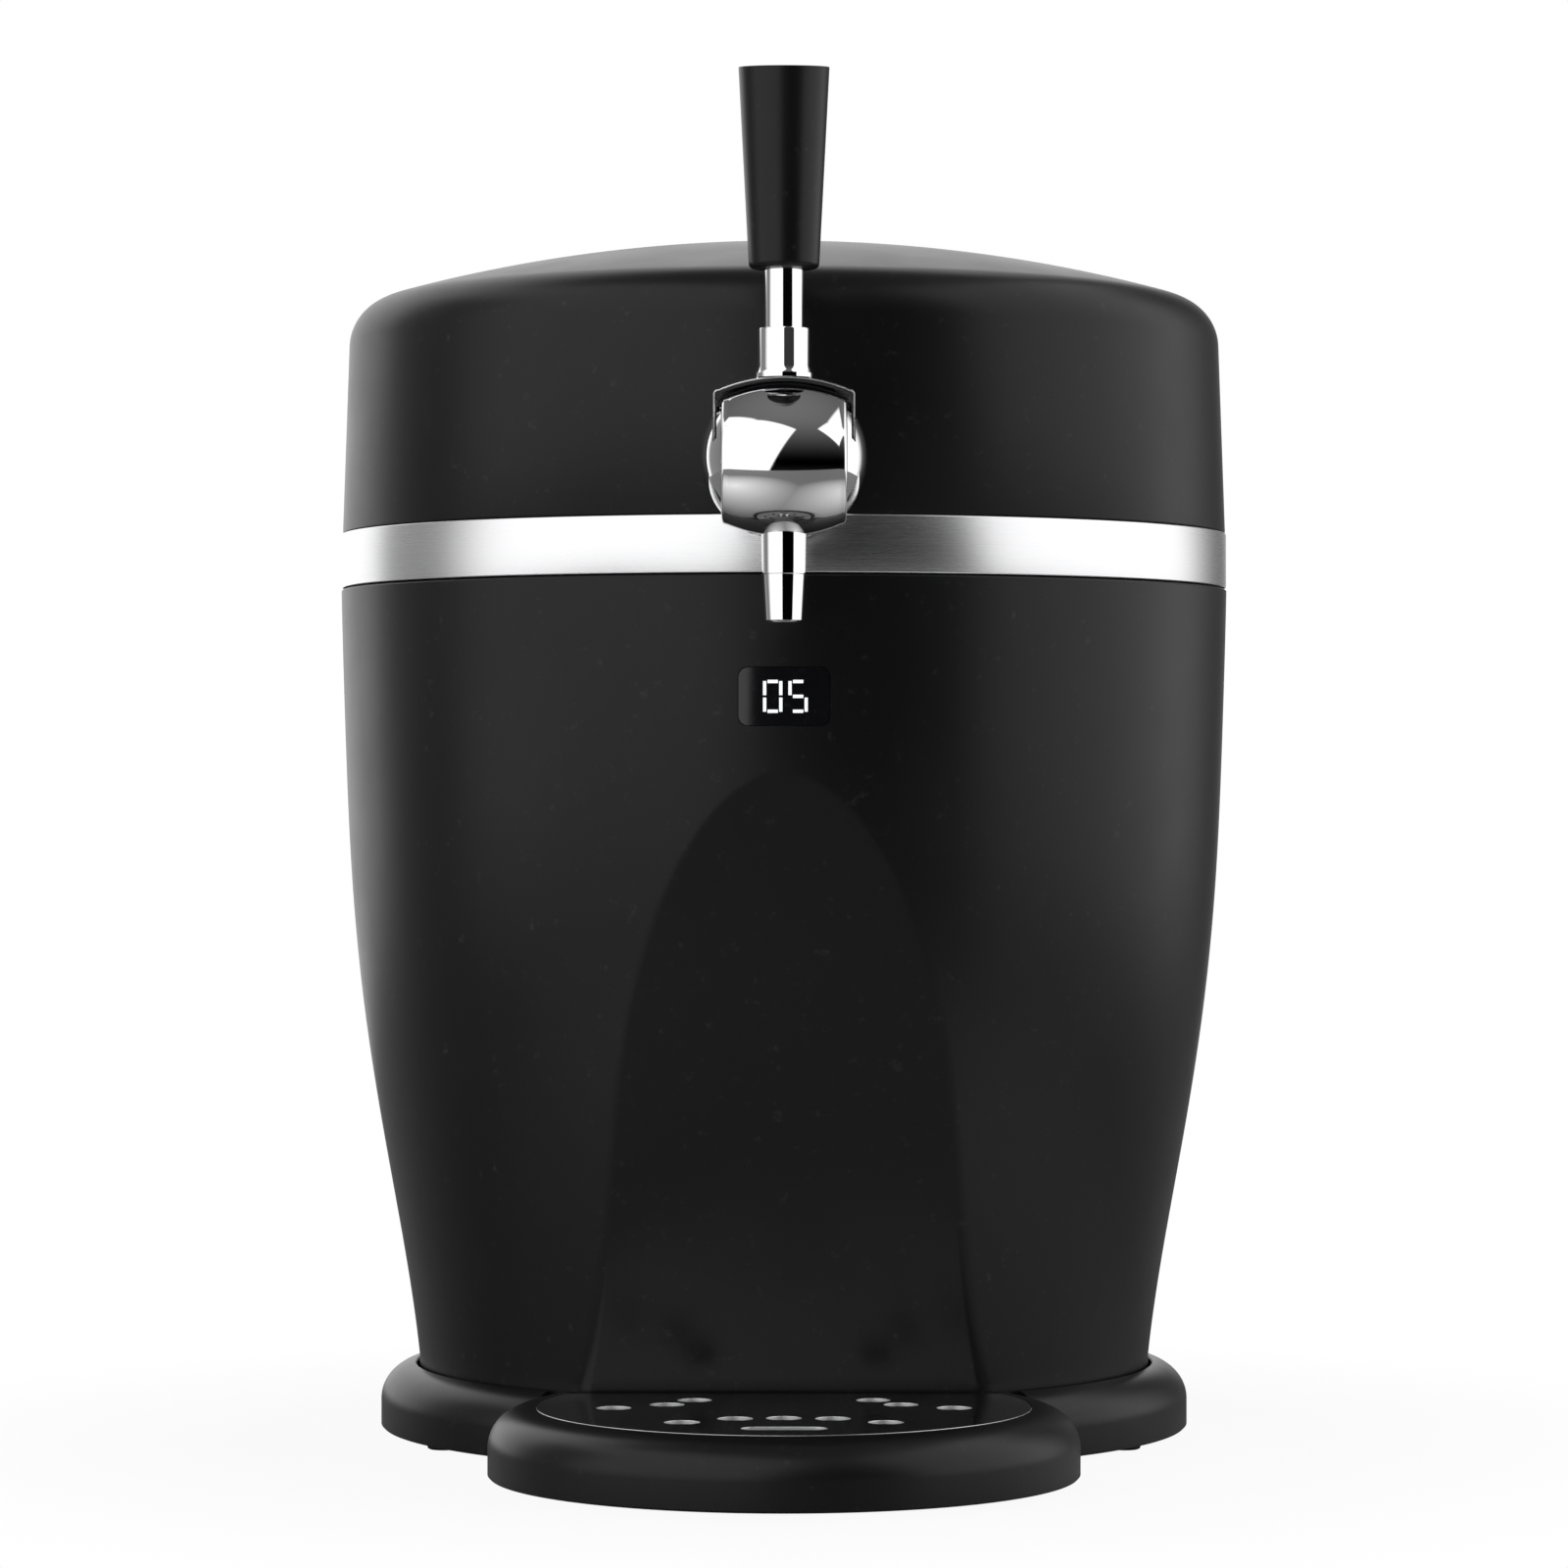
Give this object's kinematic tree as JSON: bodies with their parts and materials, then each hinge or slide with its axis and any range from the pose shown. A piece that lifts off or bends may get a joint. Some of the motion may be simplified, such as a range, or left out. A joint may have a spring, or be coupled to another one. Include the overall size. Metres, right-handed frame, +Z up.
{
  "type": "mini keg beer dispenser",
  "caption": "Barrel-shaped countertop cooler for a small keg, with a domed hinged lid, a chrome lever tap, a front display and a round drip tray.",
  "frame": {"origin": "on the table, under the middle of the whole dispenser, which is 33.1 mm in front of the keg's axis", "axes": "+Z up, -Y to the front where the tap and the tray are, +X to the right of someone facing the front"},
  "size_m": [0.2758, 0.3672, 0.4041],
  "materials": {
    "black_satin": "satin moulded plastic",
    "black_fitting": "fine-grained moulded plastic",
    "black_gloss": "gloss",
    "grey_plastic": "matt moulded plastic",
    "foam": "polyurethane foam",
    "brushed_steel": "fine brushed",
    "mirror_steel": "polished stainless",
    "chrome": "polished",
    "aluminium": "satin",
    "steel": "zinc plated",
    "brass": "machined",
    "rubber": "matt",
    "silicone": "translucent silicone",
    "circuit_board": "solder mask",
    "ceramic": "ceramic faces",
    "lit_digits": "lit segments"
  },
  "bodies": {
    "body": {"base_ring": "black_satin", "base_plate": "black_fitting", "rubber_feet": "rubber", "base_screws": "steel", "lower_shell": "black_satin", "top_rim": "black_fitting", "keg_liner": "aluminium", "foam_jacket": "foam", "chamber_deck": "grey_plastic", "temperature_probe": "steel", "fan_frame": "black_fitting", "fan_screws": "steel", "heat_sink": "aluminium", "peltier_module": "ceramic", "cold_plate": "aluminium", "sink_screws": "steel", "power_board": "circuit_board", "power_parts": "black_fitting", "power_lead": "rubber", "display_lead": "rubber", "display_window": "black_gloss", "display_digits": "lit_digits", "control_board": "circuit_board", "mains_inlet": "black_fitting", "inlet_pins": "brass", "switch_frame": "black_fitting", "hinge_bracket": "black_fitting", "hinge_pin": "steel", "bracket_screws": "steel"},
    "fan": {"fan_rotor": "black_fitting", "fan_shaft": "steel"},
    "rocker": {"power_rocker": "black_gloss"},
    "lid": {"hinge_leaf": "black_fitting", "leaf_screws": "steel", "lid_shell": "black_satin", "lid_band": "brushed_steel", "lid_liner": "grey_plastic", "lid_foam": "foam", "lid_gasket": "rubber", "lid_screws": "steel", "tap_flange": "chrome", "tap_ball": "chrome", "tap_nose": "chrome", "valve_shroud": "black_gloss", "tap_spout": "chrome", "tap_shank": "steel", "shank_nut": "brass", "nut_washer": "rubber", "beer_hose": "silicone", "hose_clips": "steel", "keg_coupler": "grey_plastic", "coupler_seal": "rubber"},
    "lever": {"lever_hood": "chrome", "valve_spindle": "steel", "lever_collar": "chrome", "lever_stem": "chrome", "tap_grip": "black_satin"},
    "tray": {"drip_tray": "black_satin", "tray_pads": "rubber"},
    "grid": {"drip_grid": "mirror_steel"}
  },
  "joints": [
    {"name": "lid_hinge", "type": "hinge", "parent": "body", "child": "lid", "pos_m": [0, 0.1781, 0.2614], "axis": [-1, 0, 0], "range_deg": [0, 75]},
    {"name": "tap_lever", "type": "hinge", "parent": "lid", "child": "lever", "pos_m": [0, -0.1339, 0.291], "axis": [1, 0, 0], "range_deg": [0, 35]},
    {"name": "fan_spin", "type": "hinge", "parent": "body", "child": "fan", "pos_m": [0, 0.0331, 0.018], "axis": [0, 0, 1], "continuous": true},
    {"name": "rocker_tilt", "type": "hinge", "parent": "body", "child": "rocker", "pos_m": [0.018, 0.1356, 0.0365], "axis": [-1, 0, 0], "range_deg": [0, 20]},
    {"name": "tray_slide", "type": "slide", "parent": "body", "child": "tray", "axis": [0, -1, 0], "range_m": [0, 0.13]},
    {"name": "grid_lift", "type": "slide", "parent": "tray", "child": "grid", "axis": [0, 0, 1], "range_m": [0, 0.006]}
  ]
}
